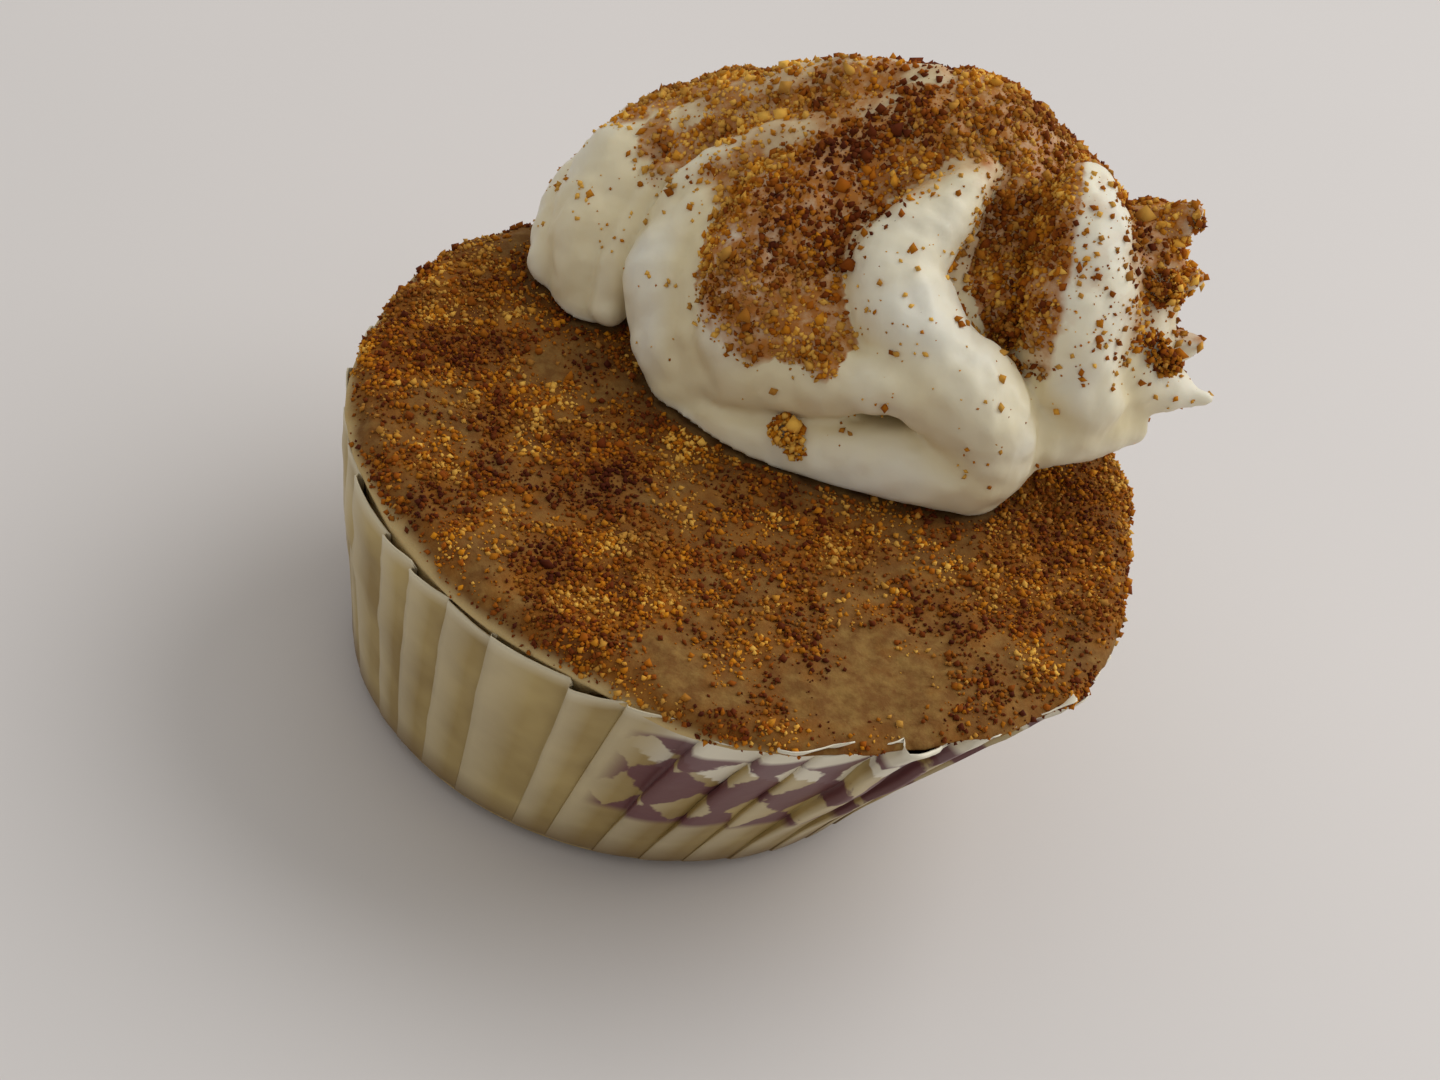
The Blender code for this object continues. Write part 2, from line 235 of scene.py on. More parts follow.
# ---------------------------------------------------------------- the cream
# soft lumps fill its middle: centre and half sizes
CREAM_LUMPS = (
    ((5, 17, 5), (14, 9, 8)),
    ((14, 16, 8), (16, 13, 13)),
    ((22, 16, 8), (12, 11, 11)),
    ((17, 18, 14), (10, 9, 9)),
    ((13, 19, 2), (25, 13.5, 15)),
    ((13, 7, 3), (14, 6.5, 6)),
    ((15, 19, 12), (12, 10, 15.9)),
)
LUMP_BLEND = 2.0
# ridges run over them: how softly each sinks into the rest, and its path as (x, y, height, thickness)
CREAM_RIDGES = {
    "far left": (0.6, (
        (-16, 14.5, 1.5, 2.6), (-16, 18, 3.5, 3.2), (-15, 22, 5.5, 3.4), (-11, 26, 8.5, 4), (-3.5, 28, 13, 5),
    )),
    "left": (0.8, (
        (-12, 12.5, 0, 3.6), (-12.5, 15, 4.5, 4.8), (-11.5, 19, 9, 5.2), (-6.5, 23, 13, 5), (13, 19, 24.5, 4),
    )),
    "front left": (0.8, (
        (-1.5, 3.5, 1.5, 3.6), (-3.5, 6.5, 5, 4.6), (-4, 10.5, 9.5, 5), (3.5, 18, 18, 5), (13.5, 17, 23.5, 4),
    )),
    "front": (2.2, ((4, 2, 6, 4.4), (2.5, 4, 10, 5.2), (3, 8, 14, 5.6), (7, 13, 18.5, 5.2), (14.5, 17, 24, 4))),
    "front right": (2.4, (
        (10, 0.8, 8.5, 4.4), (8.5, 4.2, 11, 4.6), (10, 9.5, 14.5, 4.2), (15.5, 17, 22.5, 3.2),
    )),
    "hem": (1.1, (
        (-1, 3, 2.5, 2.6), (5, 0.5, 6, 2.9), (12, -0.7, 9, 3.0), (17.5, -1, 10.5, 3.2), (23.5, -1, 8.5, 3.4),
    )),
    "hollow": (2.0, ((22, 16, 21.5, 3.6), (23, 13, 16.5, 3.6), (24.5, 10, 13, 3.4), (26, 6.5, 9.5, 3))),
    "fold": (0.7, (
        (18.5, 13, 24.5, 1.3), (16.5, 10, 22, 2.8), (13.5, 5, 17, 4.3), (18, 1.5, 12.5, 4.7),
        (22.5, 0, 10, 4.8), (25.5, 0, 6, 4.3), (25, 0, 2.5, 3.6),
    )),
    "skirt": (0.8, (
        (-1, 2.5, -0.5, 2.6), (5, 0, 0.3, 3.3), (11.5, -1, 1.5, 3.6), (18.5, -1, 2.3, 3.8),
        (24.5, -0.5, 2.8, 3.9),
    )),
    "right": (1.6, (
        (27.5, 14, 25, 2.3), (28.5, 11, 21.5, 4.2), (29.5, 8, 17.5, 4.8), (30.5, 6, 12.5, 4.6),
        (32.5, 5, 10, 3.6),
    )),
    "far right": (2.0, (
        (34, 17, 22, 2), (34, 14.5, 19, 4), (34.5, 11.5, 14.5, 4.2), (36.5, 9.5, 11, 3.8), (40.5, 9, 10.5, 1.6),
        (43.5, 8.5, 11, 0.3),
    )),
    "left wrinkle": (0.4, (
        (-10, 9.6, 2, 1.9), (-10.2, 11.8, 6.8, 2), (-8.5, 15.5, 11.5, 2), (-4.5, 19.5, 16, 2.2),
    )),
    "small wrinkle": (0.4, (
        (-14.2, 11.2, 2.5, 1.6), (-14.8, 13.2, 7, 1.7), (-13, 17, 11.2, 1.7), (-8.5, 20.8, 15, 2),
    )),
    "front wrinkle": (0.5, (
        (-0.5, 1.4, 3.4, 1.6), (-1.8, 3.3, 7.6, 1.8), (-2.2, 7.2, 12.4, 1.9), (1, 13.5, 17.7, 2),
    )),
    "crest": (0.5, (
        (-7.4, 11.8, 11.5, 1.6), (-5, 13.2, 15.2, 2.0), (-0.5, 15, 18.7, 2.2), (6.6, 16.4, 22.8, 2.3),
        (11.5, 18, 25.2, 2),
    )),
    "upper crest": (0.5, (
        (-8, 20.5, 15.4, 1.9), (-2, 21, 19.6, 2.4), (5, 21, 23.6, 2.6), (12.5, 19.5, 26.6, 2.5),
    )),
    "low point": (0.5, ((35.5, 12, 11, 3), (38.5, 11.5, 13, 1.9), (41, 11, 14.5, 0.7))),
    "middle point": (0.5, ((33, 14, 16.5, 3), (36, 13.5, 18.2, 2.2), (39, 13, 19.8, 0.8))),
    "high point": (0.5, ((33, 16, 19.5, 3), (35.5, 15.5, 22.5, 1.9), (37.2, 15, 25, 0.9))),
    "right skirt": (1.0, ((29, 3, 6, 3.2), (33, 5, 7, 3.3), (36.5, 8, 6.5, 2.6))),
}
# like ridges run down the back, each in a direction from the peak to the foot
BACK_DIRECTIONS = (22.0, 50.0, 78.0, 104.0, 131.0, 157.0)
BACK_BLEND = 1.4
BACK_PEAK = (17.0, 19.0)
BACK_FOOT_CENTRE = (11.0, 18.0)
BACK_FOOT_REACH = (25.0, 13.0)
# share of the way out to the foot, height, thickness
BACK_PROFILE = ((0.0, 24.5, 4.0), (0.45, 20.0, 4.6), (0.8, 13.0, 4.8), (0.96, 6.0, 4.4), (1.0, 0.0, 4.0))
RIDGE_STEPS = 7
CREAM_CELL = 0.42


def soft_union(first, second, blend):
    """The nearer of two distances, rounded off where they are alike."""
    near = np.maximum(blend - np.abs(first - second), 0.0) / blend
    return np.minimum(first, second) - near * near * blend * 0.25


def smooth_path(knots):
    """Points along a smooth curve through the knots."""
    knots = np.array(knots, dtype=np.float32)
    last = len(knots) - 1
    points = []
    for i in range(last):
        before, start, end, after = (knots[min(max(j, 0), last)] for j in range(i - 1, i + 3))
        slope = end - before
        bend = 2.0 * before - 5.0 * start + 4.0 * end - after
        twist = 3.0 * start - before - 3.0 * end + after
        for t in np.arange(RIDGE_STEPS) / RIDGE_STEPS:
            points.append(0.5 * (2.0 * start + slope * t + bend * t**2 + twist * t**3))
    return np.array([*points, knots[-1]], dtype=np.float32)


def back_ridge(direction):
    turn = math.radians(direction)
    foot_x = BACK_FOOT_CENTRE[0] + BACK_FOOT_REACH[0] * math.cos(turn)
    foot_y = BACK_FOOT_CENTRE[1] + BACK_FOOT_REACH[1] * math.sin(turn)
    x, y = BACK_PEAK
    knots = []
    for share, high, thick in BACK_PROFILE:
        knots.append((x + (foot_x - x) * share, y + (foot_y - y) * share, high, thick))
    return knots


PATHS = {name: (blend, smooth_path(knots)) for name, (blend, knots) in CREAM_RIDGES.items()}
for number, direction in enumerate(BACK_DIRECTIONS):
    PATHS[f"back {number}"] = (BACK_BLEND, smooth_path(back_ridge(direction)))


def ridge_distance(places, path):
    """Distance to a round ridge that runs along a path and swells with its thickness."""
    nearest = np.full(len(places), 1000.0, np.float32)
    for start, end in zip(path, path[1:]):
        run = end[:3] - start[:3]
        along = np.clip((places - start[:3]) @ run / max(float(run @ run), 1e-6), 0.0, 1.0)
        axis = start[:3] + along[:, None] * run
        gap = np.linalg.norm(places - axis, axis=1) - start[3] - along * (end[3] - start[3])
        nearest = np.minimum(nearest, gap)
    return nearest


def cream_distance(places, softer=0.0, with_each=False):
    """Distance from the cream's skin, below zero inside; with_each gives each ridge's own as well."""
    places = np.asarray(places, np.float32)
    nearest = np.full(len(places), 1000.0, np.float32)
    for centre, sizes in CREAM_LUMPS:
        scaled = np.linalg.norm((places - np.array(centre, np.float32)) / np.array(sizes, np.float32), axis=1)
        nearest = soft_union(nearest, (scaled - 1.0) * min(sizes), LUMP_BLEND + softer)
    each = {}
    for name, (blend, path) in PATHS.items():
        each[name] = ridge_distance(places, path)
        nearest = soft_union(nearest, each[name], blend + softer)
    nearest = np.maximum(nearest, -places[:, 2])
    return (nearest, each) if with_each else nearest


def surface_net(values, low, cell):
    """A closed quad mesh round the cells where values are below zero."""
    inside = values < 0.0
    corner_at = [(i, j, k) for i in (0, 1) for j in (0, 1) for k in (0, 1)]
    nx, ny, nz = (n - 1 for n in values.shape)

    def cut(grid, corner):
        """The grid's values at one corner of every cell."""
        i, j, k = corner
        return grid[i:i + nx, j:j + ny, k:k + nz]

    count = sum(cut(inside, o).astype(np.int8) for o in corner_at)
    active = (count > 0) & (count < 8)
    index = np.full(active.shape, -1, np.int64)
    index[active] = np.arange(active.sum())
    total = np.zeros((int(active.sum()), 3))
    crossings = np.zeros(len(total))
    for a in corner_at:
        for axis in range(3):
            if a[axis]:
                continue
            b = tuple(a[i] + (i == axis) for i in range(3))
            va, vb = cut(values, a)[active], cut(values, b)[active]
            crossed = (va < 0.0) != (vb < 0.0)
            t = np.where(crossed, va / np.where(crossed, va - vb, 1.0), 0.0)
            place = np.tile(np.array(a, float), (len(t), 1))
            place[:, axis] += t
            total += place * crossed[:, None]
            crossings += crossed
    cells = np.argwhere(active)
    verts = np.array(low) + cell * (cells + total / crossings[:, None])
    faces = []
    for axis in range(3):
        u, v = (axis + 1) % 3, (axis + 2) % 3
        span = [slice(1, n) for n in (nx, ny, nz)]
        span[axis] = slice(0, (nx, ny, nz)[axis])
        first = inside[tuple(slice(s.start, s.stop) for s in span)]
        ahead = list(span)
        ahead[axis] = slice(span[axis].start + 1, span[axis].stop + 1)
        second = inside[tuple(ahead)]
        for flip in (False, True):
            where = np.argwhere(first & ~second if not flip else ~first & second)
            where = where + np.array([s.start for s in span])
            quad = []
            for du, dv in ((1, 1), (0, 1), (0, 0), (1, 0)):
                c = where.copy()
                c[:, u] -= du
                c[:, v] -= dv
                quad.append(index[c[:, 0], c[:, 1], c[:, 2]])
            quad = np.stack(quad, axis=-1)
            faces.append(quad[:, ::-1] if flip else quad)
    return verts, np.concatenate(faces)


def corner_normals(verts, faces):
    """Normals of a quad mesh at its vertices."""
    cross = np.cross(verts[faces[:, 2]] - verts[faces[:, 0]], verts[faces[:, 3]] - verts[faces[:, 1]])
    total = np.zeros_like(verts)
    for i in range(4):
        np.add.at(total, faces[:, i], cross)
    return total / (np.linalg.norm(total, axis=1, keepdims=True) + 1e-9)


def sampled(axes):
    """Distances on a grid, exact near the cream's skin and rough elsewhere."""
    rough_axes = [a[::3] for a in axes]
    rough_places = np.stack([g.ravel() for g in np.meshgrid(*rough_axes, indexing="ij")], axis=-1)
    rough = cream_distance(rough_places).reshape([len(a) for a in rough_axes])
    nearest = [np.minimum((np.arange(len(a)) + 1) // 3, len(r) - 1) for a, r in zip(axes, rough_axes)]
    values = rough[np.ix_(*nearest)]
    close = np.abs(values) < 4.0 * CREAM_CELL
    values[close] = cream_distance(np.stack([g[close] for g in np.meshgrid(*axes, indexing="ij")], axis=-1))
    return values


def build_cream():
    """The cream's mesh, with how hollow it is and which ridge is nearest at each vertex."""
    low = np.array([cream_low.x, cream_low.y, 0.0]) / MM - 2.0
    high = np.array([cream_high.x + 2 * MM, cream_high.y, cream_high.z - CAKE_HEIGHT * MM]) / MM + 2.0
    axes = [np.arange(a, b, CREAM_CELL) for a, b in zip(low, high)]
    verts, faces = surface_net(sampled(axes), low, CREAM_CELL)
    off_table = smooth((verts[:, 2] - 0.3) / 0.5)[:, None]
    for _ in range(2):
        normal = corner_normals(verts, faces)
        verts = verts - off_table * normal * np.clip(cream_distance(verts), -0.2, 0.2)[:, None]
    normal = corner_normals(verts, faces)
    sharp, each = cream_distance(verts, with_each=True)
    hollow = np.clip((sharp - cream_distance(verts, 3.0)) / 1.0, 0.0, 1.0)
    # soft lumps, and finer drag marks that run up the ridges
    bumps = 0.36 * waves(verts, 4.2, 2, 1.0) + 0.16 * waves(verts * np.array([1.0, 1.0, 0.45]), 1.7, 2, 3.0)
    lift = smooth(verts[:, 2] / 1.5)
    verts = verts + normal * (bumps * lift)[:, None]
    verts[:, 2] = np.maximum(verts[:, 2], 0.0)
    owner_names = list(each)
    owner = np.argmin(np.stack([each[n] for n in owner_names]), axis=0)
    return verts, faces, normal, hollow, owner, owner_names


# ridges that carry crumbs in the hollows beside them more than on their crests
CRESTED = ("left", "far left", "left wrinkle", "small wrinkle", "front wrinkle", "front left", "back 5")


def crumb_share(verts, normal, hollow, owner, names):
    """How much of the cream's surface is under crumbs, from 0 to 1."""
    z = verts[:, 2]
    facing_up = smooth((normal[:, 2] + 0.15) / 0.7)
    ragged = waves(verts, 5.0, 3, 5.0)
    rules = {
        "front": smooth((z - 8.5 + 2.5 * ragged) / 3.0),
        "front right": smooth((z - 8.5 + 2.5 * ragged) / 3.0),
        "front left": smooth((z - 12.5 + 3.0 * ragged) / 5.0) * smooth((verts[:, 0] + 5.0) / 4.0),
        "left": smooth((z - 14.0 + 4.0 * ragged) / 5.0),
        "far left": smooth((z - 11.0 + 4.0 * ragged) / 5.0) + 0.12 * (ragged > 0.0),
        "hollow": 1.3 * smooth((z - 9.0) / 2.0),
        "front wrinkle": 0.6 * smooth((z - 13.0 + 3.0 * ragged) / 4.0),
        "left wrinkle": 0.5 * smooth((z - 12.0 + 3.0 * ragged) / 4.0),
        "small wrinkle": 0.5 * smooth((z - 11.0 + 3.0 * ragged) / 4.0),
        "fold": smooth((z - 25.0) / 1.5),
        "crest": 0.1 + 0.25 * ragged,
        "upper crest": 0.12 + 0.3 * ragged,
        "hem": 0.0 * z,
        "skirt": 0.0 * z,
        "right skirt": 0.0 * z,
        "right": 0.25 * smooth((z - 11.0) / 6.0)
        + smooth((-normal[:, 0] - 0.2) / 0.3) * smooth((z - 11.0) / 3.0),
        "far right": 0.15 + 0.7 * smooth((z - 19.0) / 4.0),
    }
    share = np.zeros(len(z))
    for i, name in enumerate(names):
        mine = owner == i
        rule = rules.get(name, smooth((z - 9.0 + 4.0 * ragged) / 8.0))
        share[mine] = rule[mine]
    streaks = 0.75 + 0.45 * waves(verts * np.array([0.35, 1.0, 1.0]), 3.0, 2, 8.0)
    crested = np.isin(owner, [i for i, name in enumerate(names) if name in CRESTED])
    share = np.where(crested, share * (0.1 + 0.9 * smooth(hollow * 2.2 + 0.45 * ragged - 0.1)), share)
    share = share * (0.25 + 0.75 * facing_up) * np.clip(streaks, 0.0, 1.2)
    share = share + 0.35 * hollow * smooth((z - 12.0) / 6.0)
    lower = 0.07 * smooth((z - 3.0) / 3.0) * (ragged > 0.1)
    return np.clip(share + lower, 0.0, 1.3)


# ---------------------------------------------------------------- the cake
CAKE_COLUMNS, CAKE_ROWS = 420, 110


def rim_height(angle):
    return CAKE_HEIGHT - RIM_DROP + (RIM_DROP - RIM_DROP_OPEN) * openness(angle)


def build_cake():
    """Rings up the cake's side, over its swollen edge and in across its top."""
    angle = np.arange(CAKE_COLUMNS) * 360.0 / CAKE_COLUMNS
    opened = openness(angle)
    start = rim_height(angle) - 0.35
    swell = 0.75 + 0.75 * opened + 0.7 * smooth(1.0 - turn_between(angle, 272.0) / 16.0)
    droop = 1.2 * smooth(1.0 - turn_between(angle, 274.0) / 20.0)
    wobble = 0.5 * np.sin(np.radians(3.0 * angle)) * np.sin(np.radians(5.0 * angle + 40.0))
    full = wall_radius(start) - PAPER - 0.1 + RIM_FLARE * opened
    rows = []
    for share in np.linspace(0.0, 1.0, 8):
        h = 1.0 + (start - 1.0) * share
        rows.append(ring(angle, wall_radius(h) - PAPER - 0.2 + RIM_FLARE * opened * share**3, h))
    for share in np.linspace(0.05, 1.0, 16):
        turn = share * math.pi / 2.0
        h = start - droop + (CAKE_HEIGHT - start + droop) * math.sin(turn)
        out = full + (swell + wobble) * smooth(share * 5.0) - 2.8 * (1.0 - math.cos(turn))
        rows.append(ring(angle, out, h))
    edge = rows[-1]
    centre = edge.mean(axis=0)
    shares = 1.0 - np.linspace(0.0, 1.0, CAKE_ROWS + 1)[1:-1]
    for share in shares:
        rows.append(centre + (edge - centre) * share)
    verts = np.concatenate([*rows, [[0, 0, 1.0]], [centre]])
    count = len(rows)
    lumps = 0.35 * waves(verts, 7.0, 3, 4.0) + 0.16 * waves(verts, 1.6, 3, 6.0)
    rise = smooth((verts[:, 2] - (CAKE_HEIGHT - 3.0)) / 2.5)
    under_cream = cream_distance(verts - np.array([0, 0, CAKE_HEIGHT])) < 0.8
    push = np.where(under_cream, np.minimum(lumps - 0.35, -0.1), lumps - 0.25) * rise
    verts[:, 2] += push
    out_way = verts - centre
    out_way[:, 2] = 0.0
    out_way /= np.linalg.norm(out_way, axis=1, keepdims=True) + 1e-9
    near_edge = smooth((np.linalg.norm((verts - centre)[:, :2], axis=1) - 31.0) / 3.0)
    verts += out_way * (0.6 * waves(verts, 4.0, 3, 9.0) * near_edge * rise)[:, None]
    total = count * CAKE_COLUMNS
    ends = [fan(0, CAKE_COLUMNS, total, False), fan(total - CAKE_COLUMNS, CAKE_COLUMNS, total + 1, True)]
    return verts, [grid_faces(count, CAKE_COLUMNS), *ends]


# where crumbs lie thick on the cake's top, and where it is nearly bare: x, y, reach, how much
THICK = (
    (-4.3, -27.9, 6.0, 0.7), (13.3, -26.7, 4.5, 0.6), (33.3, -5.9, 5.0, 0.5), (-24.5, 1.4, 8.0, 0.6),
    (-1.0, -18.5, 6.0, 0.4), (36.0, 4.0, 4.0, 0.5),
)
BARE = (
    (19.0, -30.0, 7.0, 0.8), (4.0, -31.0, 5.0, 0.8), (-10.0, 3.0, 5.0, 0.5), (21.0, -14.0, 5.0, 0.35),
    (-13.0, -29.0, 3.5, 0.7),
)


def cake_share(verts):
    """How much of the cake's top is under crumbs."""
    share = 0.7 + 0.55 * waves(verts, 7.0, 3, 12.0) + 0.4 * waves(verts, 2.6, 2, 13.0)
    for sign, spots in ((1.0, THICK), (-1.0, BARE)):
        for x, y, reach, much in spots:
            away = np.hypot(verts[:, 0] - x, verts[:, 1] - y)
            share = share + sign * much * np.exp(-((away / reach) ** 2))
    edge = smooth((verts[:, 2] - (CAKE_HEIGHT - 2.6)) / 1.2)
    under = cream_distance(verts - np.array([0, 0, CAKE_HEIGHT])) < 0.5
    return np.clip(share, 0.0, 1.0) * edge * ~under


# ---------------------------------------------------------------- crumbs
CRUMBS_ON_CAKE, CRUMBS_ON_CREAM = 24900, 20500
CRUMB_VERTS = np.array([(1, 0, 0), (-1, 0, 0), (0, 1, 0), (0, -1, 0), (0, 0, 1), (0, 0, -1)], float)
CRUMB_FACES = np.array([
    (0, 2, 4), (2, 1, 4), (1, 3, 4), (3, 0, 4), (2, 0, 5), (1, 2, 5), (3, 1, 5), (0, 3, 5),
])


def scatter(verts, faces, share, count):
    """Random places on a mesh, more of them where share is high: place, normal, share."""
    halves = lambda f: np.concatenate([f[:, [0, 1, 2]], f[:, [0, 2, 3]]])
    tris = np.concatenate([halves(f) if f.shape[1] == 4 else f for f in faces])
    a, b, c = (verts[tris[:, i]] for i in range(3))
    cross = np.cross(b - a, c - a)
    area = np.linalg.norm(cross, axis=1)
    weight = area * share[tris].mean(axis=1)
    chosen = rng.choice(len(tris), size=count, p=weight / weight.sum())
    u, v = rng.random(count), rng.random(count)
    over = u + v > 1.0
    u[over], v[over] = 1.0 - u[over], 1.0 - v[over]
    place = a[chosen] + u[:, None] * (b - a)[chosen] + v[:, None] * (c - a)[chosen]
    return place, (cross / (area[:, None] + 1e-12))[chosen], share[tris].mean(axis=1)[chosen]


def turns(count):
    """Random rotation matrices."""
    q = rng.normal(size=(count, 4))
    q /= np.linalg.norm(q, axis=1, keepdims=True)
    w, x, y, z = q.T
    return np.stack([
        np.stack([1 - 2 * (y * y + z * z), 2 * (x * y - z * w), 2 * (x * z + y * w)], axis=-1),
        np.stack([2 * (x * y + z * w), 1 - 2 * (x * x + z * z), 2 * (y * z - x * w)], axis=-1),
        np.stack([2 * (x * z - y * w), 2 * (y * z + x * w), 1 - 2 * (x * x + y * y)], axis=-1),
    ], axis=1)


DARK_VALLEY = ((12.3, 24.1), (9.1, 14.4), (5.0, 7.6), (11.2, 5.9))
DARK_REACH = 3.4


def valley_shade_and_tone(place):
    """How near each place is to the line down the cream where the crumbs are made darkest, from 0 to 1: partly
    their own darker tone, partly painted shade of the hollow.
    """
    nearest = np.full(len(place), 1000.0)
    for start, end in zip(np.array(DARK_VALLEY), np.array(DARK_VALLEY)[1:]):
        run = end - start
        along = np.clip((place[:, :2] - start) @ run / (run @ run), 0.0, 1.0)
        nearest = np.minimum(nearest, np.linalg.norm(place[:, :2] - start - along[:, None] * run, axis=1))
    return np.exp(-((nearest / DARK_REACH) ** 2))


def build_crumbs(name, place, normal, size, lighter):
    """One mesh of many small angular crumbs, each with a tone of its own, higher where lighter is."""
    count = len(place)
    knobs = CRUMB_VERTS[None] * rng.uniform(0.55, 1.25, (count, 6, 1)) * rng.uniform(0.6, 1.2, (count, 1, 3))
    shaped = np.einsum("nij,nkj->nki", turns(count), knobs) * (size * 0.5)[:, None, None]
    verts = shaped + (place + normal * (size * 0.15)[:, None])[:, None, :]
    faces = (CRUMB_FACES[None] + 6 * np.arange(count)[:, None, None]).reshape(-1, 3)
    tone = np.repeat(np.clip(rng.random(count) + lighter, 0.0, 1.0), 6)
    return make_mesh(name, verts.reshape(-1, 3), faces, {"tone": tone})


def crumb_sizes(count, low, high, largest):
    """Mostly fine crumbs, with a few large ones."""
    fine = low + (high - low) * rng.random(count) ** 2.6
    return fine + (largest - high) * rng.random(count) ** 60.0


# crumbs that stick together in a lump, on the cream: x, y, height above the cake's top, half size
CLUMPS = (
    (36.2, 10.6, 19.5, 2.1), (35.6, 8.2, 15.6, 1.4), (37.1, 8.0, 14.9, 1.6), (38.5, 7.9, 13.9, 1.4),
    (34.8, 14.6, 22.2, 1.3), (8.2, -3.6, 3.9, 1.6), (9.6, -3.9, 2.6, 1.0), (-14.2, 19.8, 10.6, 1.6),
    (24.6, 5.6, 14.2, 1.7), (37.4, 14.6, 24.4, 0.9), (-4.2, 12.6, 16.4, 1.2), (25.4, 3.4, 12.0, 1.2),
)


def clump_places():
    """Places of crumbs heaped round each clump, and the way out from its middle."""
    places, ways = [], []
    for x, y, z, half in CLUMPS:
        count = int(150 * half**2)
        way = rng.normal(size=(count, 3))
        way /= np.linalg.norm(way, axis=1, keepdims=True)
        reach = half * rng.uniform(0.55, 1.0, (count, 1)) * np.array([1.0, 0.9, 0.8])
        places.append(np.array([x, y, z]) + way * reach)
        ways.append(way)
    return np.concatenate(places), np.concatenate(ways)


# ---------------------------------------------------------------- materials
PRINT_PITCH, PRINT_ROW = 11.0, 0.30
PRINT_MIDDLE, PRINT_HALF = 320.0, 54.0


def new_material(name):
    made = bpy.data.materials.new(name)
    made.use_nodes = True
    tree = made.node_tree
    return made, tree, tree.nodes["Principled BSDF"]


def node(tree, kind, **settings):
    made = tree.nodes.new(kind)
    for key, value in settings.items():
        setattr(made, key, value)
    return made


def srgb(r, g, b):
    lin = [(c / 255.0) / 12.92 if c <= 10 else ((c / 255.0 + 0.055) / 1.055) ** 2.4 for c in (r, g, b)]
    return (*lin, 1.0)


def attribute(tree, name):
    return node(tree, "ShaderNodeAttribute", attribute_name=name).outputs["Fac"]


def noise_at(tree, scale, detail=3.0, roughness=0.55, seed=0.0):
    """Noise in object space; scale is in lumps per metre."""
    coords = node(tree, "ShaderNodeTexCoord")
    made = node(tree, "ShaderNodeTexNoise")
    made.inputs["Scale"].default_value = scale
    made.inputs["Detail"].default_value = detail
    made.inputs["Roughness"].default_value = roughness
    shift = node(tree, "ShaderNodeMapping")
    shift.inputs["Location"].default_value = (seed, seed * 0.7, seed * 0.3)
    tree.links.new(coords.outputs["Object"], shift.inputs["Vector"])
    tree.links.new(shift.outputs["Vector"], made.inputs["Vector"])
    return made.outputs["Fac"]


def ramp(tree, value, *stops):
    made = node(tree, "ShaderNodeValToRGB")
    elements = made.color_ramp.elements
    while len(elements) < len(stops):
        elements.new(0.5)
    for element, (at, colour) in zip(elements, stops):
        element.position = at
        element.color = colour if isinstance(colour, tuple) else (colour, colour, colour, 1.0)
    tree.links.new(value, made.inputs["Fac"])
    return made.outputs["Color"]


def mix(tree, factor, first, second, blend="MIX"):
    made = node(tree, "ShaderNodeMix", data_type="RGBA", blend_type=blend)
    for socket, value in ((made.inputs["Factor"], factor), (made.inputs[6], first), (made.inputs[7], second)):
        if isinstance(value, (tuple, float, int)):
            socket.default_value = value
        else:
            tree.links.new(value, socket)
    return made.outputs[2]


def maths(tree, operation, first, second=None, clamp=False):
    made = node(tree, "ShaderNodeMath", operation=operation, use_clamp=clamp)
    for socket, value in zip(made.inputs, (first, second)):
        if value is None:
            continue
        if isinstance(value, (float, int)):
            socket.default_value = value
        else:
            tree.links.new(value, socket)
    return made.outputs[0]


def bump(tree, shader, height, strength, distance):
    made = node(tree, "ShaderNodeBump")
    made.inputs["Strength"].default_value = strength
    made.inputs["Distance"].default_value = distance
    tree.links.new(height, made.inputs["Height"])
    tree.links.new(made.outputs["Normal"], shader.inputs["Normal"])


def cream_material():
    made, tree, shader = new_material("cream")
    white, cool, hollow_shade_tint = srgb(229, 220, 193), srgb(222, 217, 200), srgb(216, 198, 150)
    base = mix(tree, ramp(tree, noise_at(tree, 140.0, 2.0), (0.35, 0.0), (0.65, 1.0)), white, cool)
    # painted shade: the cream is tinted a darker, warmer cream in its hollows, where shade falls
    base = mix(tree, maths(tree, "MULTIPLY", attribute(tree, "hollow"), 0.75), base, hollow_shade_tint)
    dusted = ramp(tree, attribute(tree, "share"), (0.22, 0.0), (0.6, 1.0))
    grain = ramp(tree, noise_at(tree, 900.0, 4.0, 0.6, 2.0), (0.3, 0.6), (0.55, 1.0))
    dust = maths(tree, "MULTIPLY", dusted, grain)
    base = mix(tree, dust, base, srgb(168, 102, 14))
    tree.links.new(base, shader.inputs["Base Color"])
    gloss = ramp(tree, noise_at(tree, 220.0, 2.0, 0.5, 1.0), (0.3, 0.34), (0.7, 0.55))
    tree.links.new(gloss, shader.inputs["Roughness"])
    shader.inputs["Subsurface Weight"].default_value = 0.15
    shader.inputs["Subsurface Radius"].default_value = (1.0, 0.8, 0.55)
    shader.inputs["Subsurface Scale"].default_value = 0.002
    shader.inputs["Specular IOR Level"].default_value = 0.4
    bump(tree, shader, noise_at(tree, 600.0, 2.0, 0.5, 3.0), 0.12, 0.0005)
    return made


